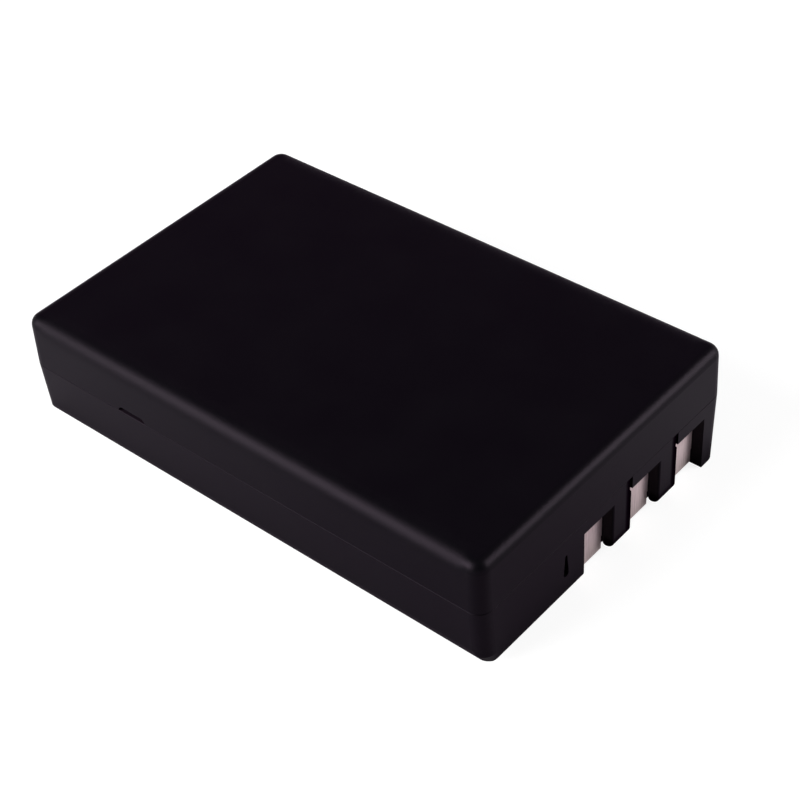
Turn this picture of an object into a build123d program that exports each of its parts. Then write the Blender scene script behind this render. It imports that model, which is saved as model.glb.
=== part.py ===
from build123d import *
import os

# Flat rechargeable camera battery. All sizes are in millimetres.
# The plain wide face is up, the contact end faces +X, and the origin is the middle of the underside.

# Outside of the case
CASE_LENGTH = 55.0
CASE_WIDTH = 35.5
CASE_HEIGHT = 13.0
SEAM_HEIGHT = 7.5
SEAM_CORNER_RADIUS = 1.4
SEAM_EDGE_BREAK = 0.06
BOTTOM_SIDE_INSET = 0.4
TOP_INSET = 0.12
TOP_CORNER_RADIUS = 1.3
TOP_EDGE_RADIUS = 1.1

# Stepped base under the walls: it is set in on three sides, and a rail on the +Y side keeps the full depth
LEDGE_HEIGHT = 0.6
LONG_EDGE_RADIUS = 2.2
CONTACT_EDGE_RADIUS = 0.8
BACK_EDGE_RADIUS = 0.65
BASE_SIDE_INSET = 2.4
BASE_BACK_INSET = 1.2
CUT_MARGIN = 3.0
NEAR_CORNER_RADIUS = 3.4
NEAR_CORNER_HEIGHT = 2.0

# Walls of the two case shells, and the lip that joins them
SIDE_WALL = 1.1
BACK_WALL = 1.1
CONTACT_WALL = 1.2
FLOOR_THICKNESS = 1.0
ROOF = 0.9
INNER_CORNER_RADIUS = 0.5
LIP_HEIGHT = 0.8
LIP_THICKNESS = 0.5
LIP_CLEARANCE = 0.1

# Notches of the contact end, open to the underside
NOTCH_WIDTH = 4.3
NOTCH_PITCH = 7.09
NOTCH_SIDE_GAP = 2.95
NOTCH_SEAM_GAP = 1.45
POST_EDGE_RADIUS = 0.2
GROOVE_WIDTH = 0.35
GROOVE_DEPTH = 0.25
GROOVE_SEAM_GAP = 0.1
SAME_PLACE = 0.0001

# Wedge-shaped slit beside the notches, and the short notch in the cover's rim
SLIT_NOTCH_GAP = 2.61
SLIT_SEAM_GAP = 1.93
SLIT_LENGTH = 2.55
SLIT_TOP_WIDTH = 0.3
SLIT_BOTTOM_WIDTH = 0.7
SLIT_DEPTH = 0.7
RIM_NOTCH_BACK_GAP = 13.8
RIM_NOTCH_LENGTH = 3.5
RIM_NOTCH_HEIGHT = 0.55
RIM_NOTCH_DEPTH = 0.5

# Contact plates and circuit board
CONTACT_THICKNESS = 0.4
CONTACT_LAP = 0.35
CONTACT_TOP_LAP = 1.2
CONTACT_CORNER_RADIUS = 0.4
FOOT_CLEARANCE = 0.1
FOOT_HEIGHT = 0.2
BOARD_THICKNESS = 0.8
BOARD_SIDE_CLEARANCE = 0.3
BOARD_TOP_CLEARANCE = 0.2
BOARD_CORNER_RADIUS = 0.5
BOARD_SPACE = 2.2

# Ribs of the tray: spacers between board and cells, and locators beside the lower cell
SPACER_WIDTH = 1.4
SPACER_SEAM_GAP = 1.0
SPACER_EDGE_GAP = 0.7
LOCATOR_THICKNESS = 1.0
LOCATOR_HEIGHT_SHARE = 0.8
LOCATOR_END_GAP = 9.0
LOCATOR_CLEARANCE = 0.1
LOCATOR_ROOT = 0.1

# Cells and what is packed round them
CELL_SIDE_CLEARANCE = 0.7
CAN_RADIUS = 1.2
CAN_BASE_RADIUS = 0.4
CAP_LINE_INSET = 0.5
CAP_LINE_WIDTH = 0.25
CAP_LINE_DEPTH = 0.12
TERMINAL_WIDTH = 5.0
TERMINAL_HEIGHT = 2.2
TERMINAL_CORNER_RADIUS = 0.4
CELL_PAD_THICKNESS = 0.3
CELL_PAD_MARGIN = 3.0
TOP_FOAM_THICKNESS = 0.4
TOP_FOAM_MARGIN = 4.0
BACK_FOAM_THICKNESS = 0.8
BACK_FOAM_MARGIN = 5.0
BACK_FOAM_EDGE_GAP = 0.6
INSULATOR_THICKNESS = 0.25
INSULATOR_MARGIN = 0.6
INSULATOR_CORNER_RADIUS = 0.8
WINDOW_CLEARANCE = 0.2
TAPE_THICKNESS = 0.15
TAPE_WIDTH = 2.4
TAPE_END_GAP = 0.5

# Nickel strips and the thermal cut-off in the negative path
STRIP_THICKNESS = 0.15
STRIP_WIDTH = 3.0
STRIP_OVERHANG = 0.5
STRIP_BEND_RADIUS = 0.3
STRIP_FOOT_LENGTH = 2.2
TAIL_WIDTH = 2.0
CUTOFF_PLACE_SHARE = -0.184
CUTOFF_LENGTH = 4.6
CUTOFF_THICKNESS = 0.8
CUTOFF_EDGE_RADIUS = 0.2
NEGATIVE_BEND_SHARE = -0.32
POSITIVE_BEND_SHARE = 0.26

# Parts on the back of the board: place across it as a share of its width, and width, height and thickness.
# The lower parts are placed up from the board's foot, and the upper ones down from its top.
PROTECTION_CHIP_SHARE = 0.078
PROTECTION_CHIP_RISE = 2.6
PROTECTION_CHIP_SIZE = (2.9, 1.6, 0.9)
PROTECTION_CHIP_LEAD_COUNT = 3
TRANSISTORS_SHARE = 0.28
TRANSISTORS_RISE = 3.0
TRANSISTORS_SIZE = (3.0, 4.4, 0.9)
TRANSISTORS_LEAD_COUNT = 4
LEAD_LENGTH = 0.6
LEAD_THICKNESS = 0.2
LEAD_WIDTH_SHARE = 0.5
THERMISTOR_SHARE = -0.078
THERMISTOR_DROP = 1.7
THERMISTOR_SIZE = (1.6, 0.8, 0.6)
FUSE_SHARE = -0.2275
FUSE_DROP = 2.7
FUSE_SIZE = (3.2, 1.6, 0.7)
RESISTOR_SHARE = -0.332
RESISTOR_PITCH = 1.2
RESISTOR_COUNT = 3
RESISTOR_DROP = 2.7
RESISTOR_SIZE = (0.6, 1.1, 0.4)
CAPACITOR_SHARE = 0.117
CAPACITOR_PITCH = 1.8
CAPACITOR_COUNT = 2
CAPACITOR_DROP = 4.4
CAPACITOR_SIZE = (1.0, 1.6, 0.8)

# Stations along the length, from the back wall to the contact end
cavity_back = -CASE_LENGTH / 2 + BACK_WALL
cavity_front = CASE_LENGTH / 2 - CONTACT_WALL
strip_back = cavity_back + BACK_FOAM_THICKNESS
cell_back = strip_back + STRIP_THICKNESS + INSULATOR_THICKNESS
board_front = cavity_front - CONTACT_THICKNESS
board_back = board_front - BOARD_THICKNESS
channel_back = board_front - FOOT_CLEARANCE
insulator_front = board_back - BOARD_SPACE
cell_front = insulator_front - INSULATOR_THICKNESS
cavity_length = cavity_front - cavity_back
cavity_middle = (cavity_front + cavity_back) / 2
cell_length = cell_front - cell_back
cell_middle = (cell_front + cell_back) / 2

# Stations up the height
ceiling = CASE_HEIGHT - ROOF
floor_top = LEDGE_HEIGHT + FLOOR_THICKNESS
notch_top = SEAM_HEIGHT - NOTCH_SEAM_GAP
slit_top = SEAM_HEIGHT - SLIT_SEAM_GAP
board_height = ceiling - floor_top - BOARD_TOP_CLEARANCE
cell_thickness = (ceiling - floor_top - CELL_PAD_THICKNESS - TOP_FOAM_THICKNESS) / 2
lower_cell_z = floor_top + cell_thickness / 2
upper_cell_z = lower_cell_z + cell_thickness + CELL_PAD_THICKNESS
stack_middle = (lower_cell_z + upper_cell_z) / 2
stack_height = 2 * cell_thickness + CELL_PAD_THICKNESS

# Widths, and places across the case
seam_inner_width = CASE_WIDTH - 2 * SIDE_WALL
side_slope = BOTTOM_SIDE_INSET / SEAM_HEIGHT
floor_lean = side_slope * (SEAM_HEIGHT - floor_top)
ledge_lean = side_slope * (SEAM_HEIGHT - LEDGE_HEIGHT)
floor_inner_width = seam_inner_width - 2 * floor_lean
ceiling_lean = TOP_INSET * (ceiling - SEAM_HEIGHT) / (CASE_HEIGHT - SEAM_HEIGHT)
ceiling_inner_width = seam_inner_width - 2 * ceiling_lean
cell_width = floor_inner_width - 2 * CELL_SIDE_CLEARANCE
board_width = floor_inner_width - 2 * BOARD_SIDE_CLEARANCE
last_notch_y = CASE_WIDTH / 2 - NOTCH_SIDE_GAP - NOTCH_WIDTH / 2
notch_places = [last_notch_y - step * NOTCH_PITCH for step in (2, 1, 0)]
rail_y = CASE_WIDTH / 2 - NOTCH_SIDE_GAP
slit_y = notch_places[0] - NOTCH_WIDTH / 2 - SLIT_NOTCH_GAP
cutoff_y = CUTOFF_PLACE_SHARE * cell_width
negative_bend_y = NEGATIVE_BEND_SHARE * cell_width
positive_bend_y = POSITIVE_BEND_SHARE * cell_width


def span(x, y, z):
    """Box from three (low, high) pairs."""
    centre = Pos(sum(x) / 2, sum(y) / 2, sum(z) / 2)
    return centre * Box(x[1] - x[0], y[1] - y[0], z[1] - z[0])


def around(middle, size):
    """Low and high end of a length about its middle."""
    return (middle - size / 2, middle + size / 2)


def outline(length, width, radius, height, middle=0.0):
    """Flat rounded rectangle at a height, centred across the case."""
    return Pos(middle, 0, height) * RectangleRounded(length, width, radius)


def cavity_outline(width, height, grow=0.0):
    """Outline of the hollow at a height, which may be grown evenly."""
    radius = INNER_CORNER_RADIUS + grow
    return outline(cavity_length + 2 * grow, width + 2 * grow, radius, height, cavity_middle)


def end_plate(width, height, radius, middle_y, middle_z, low_x, thickness):
    """Rounded plate that faces along X."""
    face = Plane((low_x, middle_y, middle_z), x_dir=(0, 1, 0), z_dir=(1, 0, 0))
    return extrude(face * RectangleRounded(width, height, radius), thickness)


def bent_strip(points, height, width):
    """Thin strip on edge that follows points in plan, with rounded bends."""
    path = FilletPolyline(*[(x, y, height) for x, y in points], radius=STRIP_BEND_RADIUS)
    start = Plane(path @ 0, x_dir=(0, 0, 1), z_dir=path % 0)
    return sweep(start * Rectangle(width, STRIP_THICKNESS), path)


def board_part(y, rise, size):
    """Block on the back of the board, given by its place, its height above the foot, and its size."""
    width, height, thickness = size
    return span((board_back - thickness, board_back), around(y, width), around(floor_top + rise, height))


def seam_outlines(rise):
    """The widest outline, a little off the seam, and the outline with its edge broken, on the seam."""
    widest = outline(CASE_LENGTH, CASE_WIDTH, SEAM_CORNER_RADIUS, SEAM_HEIGHT + rise)
    broken = outline(
        CASE_LENGTH - 2 * SEAM_EDGE_BREAK,
        CASE_WIDTH - 2 * SEAM_EDGE_BREAK,
        SEAM_CORNER_RADIUS - SEAM_EDGE_BREAK,
        SEAM_HEIGHT,
    )
    return [widest, broken]


def is_mouth_edge(edge, notch_sides):
    """Whether an edge runs up the outer face of the contact end along the side of a notch."""
    box = edge.bounding_box()
    on_side = min(abs(edge.center().Y - side) for side in notch_sides) < SAME_PLACE
    stands = box.size.Y < SAME_PLACE and box.size.Z > CONTACT_EDGE_RADIUS / 2
    outside = box.max.X > cavity_front + CONTACT_WALL / 2
    return on_side and stands and outside


def under_edge(inset, radius, slope=0.0):
    """Section cut from under a wall: the step to the base, and what is outside the rounded lower edge.

    It is drawn inwards from the wall's foot, and up from the underside. The slope is the wall's lean.
    """
    step_size = (inset + CUT_MARGIN, LEDGE_HEIGHT + CUT_MARGIN)
    step = Pos(-CUT_MARGIN, -CUT_MARGIN) * Rectangle(*step_size, align=Align.MIN)
    normal = Vector(1, slope).normalized()
    middle = Vector(radius * (1 - normal.Y) / normal.X, LEDGE_HEIGHT + radius)
    outer = middle - normal * (radius + CUT_MARGIN)
    foot = [(-CUT_MARGIN, LEDGE_HEIGHT), (middle.X, LEDGE_HEIGHT)]
    corner = Polygon(*foot, (middle.X, middle.Y), (outer.X, outer.Y), align=None)
    return step + (corner - Pos(middle.X, middle.Y) * Circle(radius))


def contact_edge():
    """Section cut from under the contact wall, which leaves its lower edge full round.

    Behind it is a channel that the plates' feet stand in.
    """
    inner_radius = CONTACT_WALL - CONTACT_EDGE_RADIUS
    step = CASE_LENGTH / 2 - channel_back
    channel_size = (step - CONTACT_EDGE_RADIUS, inner_radius)
    channel = Pos(CONTACT_EDGE_RADIUS, LEDGE_HEIGHT) * Rectangle(*channel_size, align=Align.MIN)
    channel -= Pos(CONTACT_EDGE_RADIUS, LEDGE_HEIGHT + inner_radius) * Circle(inner_radius)
    return under_edge(step, CONTACT_EDGE_RADIUS) + channel


def tray_outline(height, near_radius):
    """Outline of the leaning tray at a height, with its own radius for the two near corners."""
    width = CASE_WIDTH - 2 * side_slope * (SEAM_HEIGHT - height)
    shape = Rectangle(CASE_LENGTH, width)
    shape = fillet(shape.vertices().sort_by(Axis.Y)[:2], near_radius)
    shape = fillet(shape.vertices().sort_by(Axis.Y)[-2:], SEAM_CORNER_RADIUS)
    return Pos(0, 0, height) * shape


def make_tray_block():
    """Solid block of the tray, with its base stepped in under the near side and the two ends."""
    foot = tray_outline(0, NEAR_CORNER_RADIUS)
    corner_top = tray_outline(NEAR_CORNER_HEIGHT, SEAM_CORNER_RADIUS)
    block = loft([foot, corner_top, *seam_outlines(-SEAM_EDGE_BREAK)], ruled=True)
    side_foot = -CASE_WIDTH / 2 + ledge_lean
    near_side = Plane((0, side_foot, 0), x_dir=(0, 1, 0), z_dir=(1, 0, 0))
    near_cut = under_edge(BASE_SIDE_INSET, LONG_EDGE_RADIUS, side_slope)
    block -= extrude(near_side * near_cut, CASE_LENGTH, both=True)
    contact_end = Plane((CASE_LENGTH / 2, rail_y, 0), x_dir=(-1, 0, 0), z_dir=(0, 1, 0))
    block -= extrude(contact_end * contact_edge(), -2 * CASE_WIDTH)
    back_end = Plane((-CASE_LENGTH / 2, rail_y, 0), x_dir=(1, 0, 0), z_dir=(0, -1, 0))
    block -= extrude(back_end * under_edge(BASE_BACK_INSET, BACK_EDGE_RADIUS), 2 * CASE_WIDTH)
    return block


def make_lower_case():
    """Tray: stepped base, hollow, lip, ribs, contact notches, grooves and slit."""
    tray = make_tray_block()
    hollow = [cavity_outline(floor_inner_width, floor_top), cavity_outline(seam_inner_width, SEAM_HEIGHT)]
    tray -= loft(hollow, ruled=True)
    lip = cavity_outline(seam_inner_width, SEAM_HEIGHT, LIP_THICKNESS)
    lip -= cavity_outline(seam_inner_width, SEAM_HEIGHT)
    tray += extrude(lip, LIP_HEIGHT)

    spacer_y = board_width / 2 - SPACER_EDGE_GAP - SPACER_WIDTH / 2
    locator_y = cell_width / 2 + LOCATOR_CLEARANCE
    locator_top = floor_top + LOCATOR_HEIGHT_SHARE * cell_thickness
    locator_lean = side_slope * (SEAM_HEIGHT - locator_top)
    locator_root = seam_inner_width / 2 - locator_lean + LOCATOR_ROOT
    for side in (-1, 1):
        spacer_across = around(side * spacer_y, SPACER_WIDTH)
        tray += span((insulator_front, board_back), spacer_across, (floor_top, SEAM_HEIGHT - SPACER_SEAM_GAP))
        for x in (cell_back + LOCATOR_END_GAP, cell_front - LOCATOR_END_GAP):
            across = sorted((side * locator_y, side * locator_root))
            tray += span(around(x, LOCATOR_THICKNESS), across, (floor_top, locator_top))

    for y in notch_places:
        tray -= span((channel_back, CASE_LENGTH), around(y, NOTCH_WIDTH), (-CASE_HEIGHT, notch_top))
    far_sides = [y - NOTCH_WIDTH / 2 for y in notch_places[1:]]
    near_sides = [y + NOTCH_WIDTH / 2 for y in notch_places[:2]]
    for sides in (far_sides, near_sides):
        tray = fillet([edge for edge in tray.edges() if is_mouth_edge(edge, sides)], POST_EDGE_RADIUS)
    for side in far_sides:
        along = (CASE_LENGTH / 2 - GROOVE_DEPTH, CASE_LENGTH)
        upward = (notch_top - GROOVE_WIDTH, SEAM_HEIGHT - GROOVE_SEAM_GAP)
        tray -= span(along, (side - GROOVE_WIDTH, side), upward)

    end_face = Plane((CASE_LENGTH / 2, 0, 0), x_dir=(0, 1, 0), z_dir=(1, 0, 0))
    slit_ends = [
        Pos(slit_y, slit_top - SLIT_TOP_WIDTH / 2) * Circle(SLIT_TOP_WIDTH / 2),
        Pos(slit_y, slit_top - SLIT_LENGTH + SLIT_BOTTOM_WIDTH / 2) * Circle(SLIT_BOTTOM_WIDTH / 2),
    ]
    slit = make_hull([edge for end in slit_ends for edge in end.edges()])
    tray -= extrude(end_face * slit, -SLIT_DEPTH)
    return tray


def make_upper_case():
    """Cover: walls that lean in a little, rounded top edge, hollow, rebate for the tray's lip, rim notch."""
    top = outline(CASE_LENGTH - 2 * TOP_INSET, CASE_WIDTH - 2 * TOP_INSET, TOP_CORNER_RADIUS, CASE_HEIGHT)
    cover = loft([top, *seam_outlines(SEAM_EDGE_BREAK)], ruled=True)
    cover = fillet(cover.faces().sort_by(Axis.Z)[-1].edges(), TOP_EDGE_RADIUS)
    hollow = [cavity_outline(seam_inner_width, SEAM_HEIGHT), cavity_outline(ceiling_inner_width, ceiling)]
    cover -= loft(hollow, ruled=True)
    rebate = cavity_outline(seam_inner_width, SEAM_HEIGHT, LIP_THICKNESS + LIP_CLEARANCE)
    cover -= extrude(rebate, LIP_HEIGHT + LIP_CLEARANCE)
    rim_notch_x = -CASE_LENGTH / 2 + RIM_NOTCH_BACK_GAP
    near_side = Plane((rim_notch_x, -CASE_WIDTH / 2, SEAM_HEIGHT), x_dir=(1, 0, 0), z_dir=(0, -1, 0))
    cover -= extrude(near_side * SlotOverall(RIM_NOTCH_LENGTH, 2 * RIM_NOTCH_HEIGHT), -RIM_NOTCH_DEPTH)
    return cover


def make_cell(height, cap_side):
    """Sealed flat can with a terminal on each end: the welded cap faces cap_side along X."""
    can = end_plate(cell_width, cell_thickness, CAN_RADIUS, 0, height, cell_back, cell_length)
    ends = can.faces().sort_by(Axis.X)
    base = ends[0] if cap_side > 0 else ends[-1]
    can = fillet(base.edges(), CAN_BASE_RADIUS)
    cap = cell_front if cap_side > 0 else cell_back
    face = Plane((cap, 0, height), x_dir=(0, 1, 0), z_dir=(1, 0, 0))
    line = [
        RectangleRounded(cell_width - 2 * inset, cell_thickness - 2 * inset, CAN_RADIUS - inset)
        for inset in (CAP_LINE_INSET, CAP_LINE_INSET + CAP_LINE_WIDTH)
    ]
    can -= extrude(face * (line[0] - line[1]), -cap_side * CAP_LINE_DEPTH)
    for low_x in (cell_back - INSULATOR_THICKNESS, cell_front):
        can += end_plate(
            TERMINAL_WIDTH, TERMINAL_HEIGHT, TERMINAL_CORNER_RADIUS, 0, height, low_x, INSULATOR_THICKNESS
        )
    return can


def make_insulator(low_x):
    """Paper sheet over both cells' ends, with a window round each terminal."""
    sheet = end_plate(
        cell_width - 2 * INSULATOR_MARGIN,
        stack_height - 2 * INSULATOR_MARGIN,
        INSULATOR_CORNER_RADIUS,
        0,
        stack_middle,
        low_x,
        INSULATOR_THICKNESS,
    )
    for height in (lower_cell_z, upper_cell_z):
        sheet -= end_plate(
            TERMINAL_WIDTH + 2 * WINDOW_CLEARANCE,
            TERMINAL_HEIGHT + 2 * WINDOW_CLEARANCE,
            TERMINAL_CORNER_RADIUS + WINDOW_CLEARANCE,
            0,
            height,
            low_x,
            INSULATOR_THICKNESS,
        )
    return sheet


def make_contact(y):
    """Flat plate behind a notch: shoulders lap the wall, and a narrower foot fills the floor's notch."""
    shoulder_low = floor_top + FOOT_CLEARANCE
    shoulder_high = notch_top + CONTACT_TOP_LAP
    plate = end_plate(
        NOTCH_WIDTH + 2 * CONTACT_LAP,
        shoulder_high - shoulder_low,
        CONTACT_CORNER_RADIUS,
        y,
        (shoulder_high + shoulder_low) / 2,
        board_front,
        CONTACT_THICKNESS,
    )
    foot = span(
        (board_front, cavity_front),
        around(y, NOTCH_WIDTH - 2 * FOOT_CLEARANCE),
        (FOOT_HEIGHT, shoulder_low + CONTACT_CORNER_RADIUS),
    )
    return plate + foot


def make_leaded_part(share, rise, size, count):
    """Moulded body with flat leads on two opposite sides of the board's back."""
    y = share * board_width
    body = board_part(y, rise, size)
    width, height, thickness = size
    pitch = width / count
    lead = (pitch * LEAD_WIDTH_SHARE, height + 2 * LEAD_LENGTH, LEAD_THICKNESS)
    for place in range(count):
        body += board_part(y + (place - (count - 1) / 2) * pitch, rise, lead)
    return body


def make_upper_block(share, drop, size, shift=0.0):
    """One block on the board's upper part, which may be shifted towards -Y."""
    return board_part(share * board_width - shift, board_height - drop, size)


def make_row(share, drop, size, pitch, count):
    """Group of equal blocks in a row on the board's upper part."""
    return Compound(children=[make_upper_block(share, drop, size, pitch * place) for place in range(count)])


def make_series_strip():
    """Link between the cells' back terminals, with a tail round the upper cell to the board."""
    back_x = strip_back + STRIP_THICKNESS / 2
    side_y = cell_width / 2 + TAPE_THICKNESS + STRIP_THICKNESS / 2
    foot_x = board_back - STRIP_THICKNESS / 2
    tail = bent_strip(
        [(back_x, 0), (back_x, side_y), (foot_x, side_y), (foot_x, side_y - STRIP_FOOT_LENGTH)],
        upper_cell_z,
        TAIL_WIDTH,
    )
    link = span(
        (strip_back, strip_back + STRIP_THICKNESS),
        around(0, STRIP_WIDTH),
        (lower_cell_z - STRIP_WIDTH / 2, upper_cell_z + STRIP_WIDTH / 2),
    )
    return tail + link


def make_positive_strip():
    """Strip from the upper cell's front terminal to the board."""
    flat_x = insulator_front + STRIP_THICKNESS / 2
    foot_x = board_back - STRIP_THICKNESS / 2
    start_y = -TERMINAL_WIDTH / 2 - STRIP_OVERHANG
    return bent_strip(
        [
            (flat_x, start_y),
            (flat_x, positive_bend_y),
            (foot_x, positive_bend_y),
            (foot_x, positive_bend_y + STRIP_FOOT_LENGTH),
        ],
        upper_cell_z,
        STRIP_WIDTH,
    )


def make_negative_strip():
    """Flat strip from the lower cell's front terminal to the end of the cut-off."""
    across = (cutoff_y - CUTOFF_LENGTH / 2, TERMINAL_WIDTH / 2 + STRIP_OVERHANG)
    return span(
        (insulator_front, insulator_front + STRIP_THICKNESS), across, around(lower_cell_z, STRIP_WIDTH)
    )


def make_thermal_cutoff():
    """Block between the two negative strips, with its standing edges rounded."""
    low_x = insulator_front + STRIP_THICKNESS
    block = span(
        (low_x, low_x + CUTOFF_THICKNESS), around(cutoff_y, CUTOFF_LENGTH), around(lower_cell_z, STRIP_WIDTH)
    )
    return fillet(block.edges().filter_by(Axis.X), CUTOFF_EDGE_RADIUS)


def make_cutoff_lead():
    """Strip from the cut-off to the board."""
    lead_x = insulator_front + STRIP_THICKNESS + CUTOFF_THICKNESS + STRIP_THICKNESS / 2
    foot_x = board_back - STRIP_THICKNESS / 2
    return bent_strip(
        [
            (lead_x, cutoff_y + CUTOFF_LENGTH / 2),
            (lead_x, negative_bend_y),
            (foot_x, negative_bend_y),
            (foot_x, negative_bend_y - STRIP_FOOT_LENGTH),
        ],
        lower_cell_z,
        STRIP_WIDTH,
    )


def make_circuit_board():
    """Board that stands on the tray's floor behind the contact plates."""
    middle_z = floor_top + board_height / 2
    return end_plate(
        board_width, board_height, BOARD_CORNER_RADIUS, 0, middle_z, board_back, BOARD_THICKNESS
    )


def make_pad(length, width, low_z, thickness, radius):
    """Rounded sheet that lies on a cell."""
    return extrude(outline(length, width, radius, low_z, cell_middle), thickness)


def make_back_foam():
    """Foam sheet between the back wall and the series strip."""
    return span(
        (cavity_back, strip_back),
        around(0, cell_width - 2 * BACK_FOAM_MARGIN),
        (floor_top + BACK_FOAM_EDGE_GAP, ceiling - BACK_FOAM_EDGE_GAP),
    )


def make_side_tape():
    """Tape on the flat of the upper cell's side, under the strip's tail."""
    return span(
        (cell_back + TAPE_END_GAP, cell_front - TAPE_END_GAP),
        (cell_width / 2, cell_width / 2 + TAPE_THICKNESS),
        around(upper_cell_z, TAPE_WIDTH),
    )


pieces = {
    "lower_case": make_lower_case(),
    "upper_case": make_upper_case(),
    "lower_cell": make_cell(lower_cell_z, 1),
    "upper_cell": make_cell(upper_cell_z, -1),
    "cell_pad": make_pad(
        cell_length - 2 * CELL_PAD_MARGIN,
        cell_width - 2 * CELL_PAD_MARGIN,
        floor_top + cell_thickness,
        CELL_PAD_THICKNESS,
        CAN_RADIUS,
    ),
    "top_foam": make_pad(
        cell_length - 2 * TOP_FOAM_MARGIN,
        cell_width - 2 * TOP_FOAM_MARGIN,
        ceiling - TOP_FOAM_THICKNESS,
        TOP_FOAM_THICKNESS,
        CAN_RADIUS,
    ),
    "back_foam": make_back_foam(),
    "front_insulator": make_insulator(cell_front),
    "back_insulator": make_insulator(cell_back - INSULATOR_THICKNESS),
    "side_tape": make_side_tape(),
    "series_strip": make_series_strip(),
    "positive_strip": make_positive_strip(),
    "negative_strip": make_negative_strip(),
    "thermal_cutoff": make_thermal_cutoff(),
    "cutoff_lead": make_cutoff_lead(),
    "circuit_board": make_circuit_board(),
    "negative_contact": make_contact(notch_places[0]),
    "sensor_contact": make_contact(notch_places[1]),
    "positive_contact": make_contact(notch_places[2]),
    "protection_chip": make_leaded_part(
        PROTECTION_CHIP_SHARE, PROTECTION_CHIP_RISE, PROTECTION_CHIP_SIZE, PROTECTION_CHIP_LEAD_COUNT
    ),
    "switch_transistors": make_leaded_part(
        TRANSISTORS_SHARE, TRANSISTORS_RISE, TRANSISTORS_SIZE, TRANSISTORS_LEAD_COUNT
    ),
    "thermistor": make_upper_block(THERMISTOR_SHARE, THERMISTOR_DROP, THERMISTOR_SIZE),
    "surface_fuse": make_upper_block(FUSE_SHARE, FUSE_DROP, FUSE_SIZE),
    "chip_resistors": make_row(
        RESISTOR_SHARE, RESISTOR_DROP, RESISTOR_SIZE, RESISTOR_PITCH, RESISTOR_COUNT
    ),
    "chip_capacitors": make_row(
        CAPACITOR_SHARE, CAPACITOR_DROP, CAPACITOR_SIZE, CAPACITOR_PITCH, CAPACITOR_COUNT
    ),
}

os.makedirs("parts", exist_ok=True)
for name, piece in pieces.items():
    export_step(piece, f"parts/{name}.step")
    print(f"{name}: {piece.volume:.1f} cubic mm")
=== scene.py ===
# %% [markdown]
# # A flat camera battery
# The battery is a sealed plastic case about as long as a thumb. Three plated contact plates stand behind notches at
# one end, and two flat cells and a small circuit board fill the inside. Its solids are already modelled, so this
# script loads them as a fixed frame and never moves them. What is left for Blender is the looks: the finish of each
# piece, the light, and the camera of the photograph.

# %% Load the solids
import math

import bpy
import numpy as np
from mathutils import Matrix, Vector


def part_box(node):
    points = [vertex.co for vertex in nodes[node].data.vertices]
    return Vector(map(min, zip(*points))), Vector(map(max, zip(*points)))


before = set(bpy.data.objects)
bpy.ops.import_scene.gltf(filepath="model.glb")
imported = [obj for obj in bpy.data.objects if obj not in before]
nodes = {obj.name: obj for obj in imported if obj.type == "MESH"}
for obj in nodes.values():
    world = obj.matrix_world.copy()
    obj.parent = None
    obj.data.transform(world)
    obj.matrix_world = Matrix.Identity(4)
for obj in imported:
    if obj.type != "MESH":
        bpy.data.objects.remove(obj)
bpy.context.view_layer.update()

# %% [markdown]
# Blender works in metres, but every detail of a battery is a few millimetres or less. All sizes below are therefore
# written in millimetres and turned into metres in one place. Finishes have to land on the right spot of a solid, such
# as the tinned ends of a resistor, so a small helper asks the frame where a piece lies instead of repeating numbers
# from the drawing.

# %% Millimetres and where the pieces lie
MM = 0.001


def reach(node, axis):
    """Lowest and highest place of a solid along an axis, in millimetres."""
    low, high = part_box(node)
    return low[axis] / MM, high[axis] / MM


def length_of(node, axis):
    """Length of a solid along an axis, in millimetres."""
    low, high = reach(node, axis)
    return high - low


def middle(node):
    """Middle of a solid's box, in millimetres."""
    return [sum(reach(node, axis)) / 2 for axis in range(3)]


X, Y, Z = range(3)
seam_height = reach("upper_case", Z)[0]
print("seam height", round(seam_height, 2), "mm; board middle", [round(v, 2) for v in middle("circuit_board")])

# %% [markdown]
# A material in Blender is a small network of nodes. Writing each node, value and link by hand makes a long script, so
# one helper adds a node and fills its inputs: a number or colour is written into the socket, and a socket of another
# node is linked to it. The other helpers cover the steps that nearly every finish needs, such as to run a value between
# two limits, to take the mean of two patterns, or to run from one colour to another.

# %% Helpers for nodes
MIX_FACTOR, MIX_FIRST, MIX_SECOND, MIX_COLOUR = 0, 6, 7, 2


def put(tree, kind, inputs=(), **settings):
    """Adds a shader node, sets its options, and fills its inputs with values or with links from sockets."""
    node = tree.nodes.new("ShaderNode" + kind)
    for key, value in settings.items():
        setattr(node, key, value)
    for key, value in dict(inputs).items():
        if isinstance(value, bpy.types.NodeSocket):
            tree.links.new(value, node.inputs[key])
        else:
            node.inputs[key].default_value = value
    return node


def math_of(tree, operation, first, second):
    """One step of arithmetic on two values."""
    return put(tree, "Math", {0: first, 1: second}, operation=operation).outputs[0]


def run_value(tree, value, start, end, low, high, shape="LINEAR"):
    """Maps a value from start..end to low..high, and holds it at the ends."""
    inputs = {0: value, 1: start, 2: end, 3: low, 4: high}
    return put(tree, "MapRange", inputs, interpolation_type=shape).outputs[0]


def share_of(tree, value, start, end):
    """How far a value is on the way from start to end, from 0 to 1."""
    return run_value(tree, value, start, end, 0.0, 1.0)


def between(tree, mask, first, second):
    """Runs from a first value to a second one as a mask goes from 0 to 1."""
    return run_value(tree, mask, 0.0, 1.0, first, second)


def average(tree, first, second):
    """Mean of two values."""
    return math_of(tree, "MULTIPLY", math_of(tree, "ADD", first, second), 0.5)


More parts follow.
